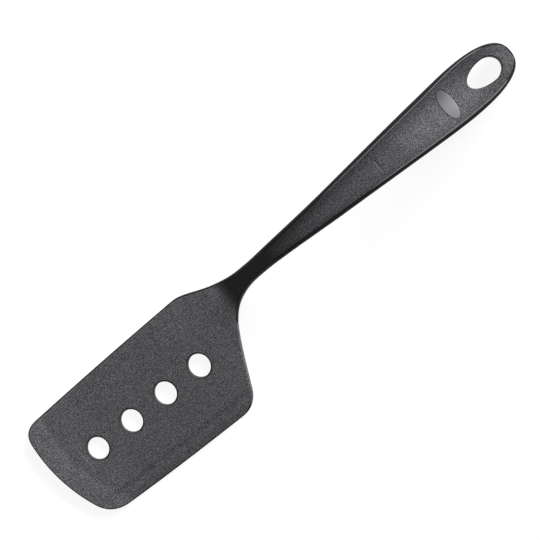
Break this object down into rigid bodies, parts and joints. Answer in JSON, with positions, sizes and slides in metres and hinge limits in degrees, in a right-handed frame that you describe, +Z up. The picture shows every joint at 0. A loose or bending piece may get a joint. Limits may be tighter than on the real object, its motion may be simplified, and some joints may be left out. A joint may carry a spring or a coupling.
{
  "type": "kitchen turner",
  "caption": "Plastic kitchen turner: a flat blade with round drain holes and an upturned front lip, a cranked neck, and an arched handle with a soft grip, an oval inlay and a hanging hole.",
  "frame": {"origin": "on the flat underside of the blade, at its heel, in the middle plane of the handle", "axes": "+X from the blade's front edge towards the handle's end, +Z up out of the blade's top, the blade hanging to the -Y side"},
  "size_m": [0.324, 0.0644, 0.0269],
  "materials": {
    "nylon": "fine speckled grain",
    "grip": "smooth satin",
    "badge": "polished"
  },
  "bodies": {
    "root": {"blade_and_spine": "nylon", "handle_grip": "grip", "oval_badge": "badge"}
  },
  "joints": []
}
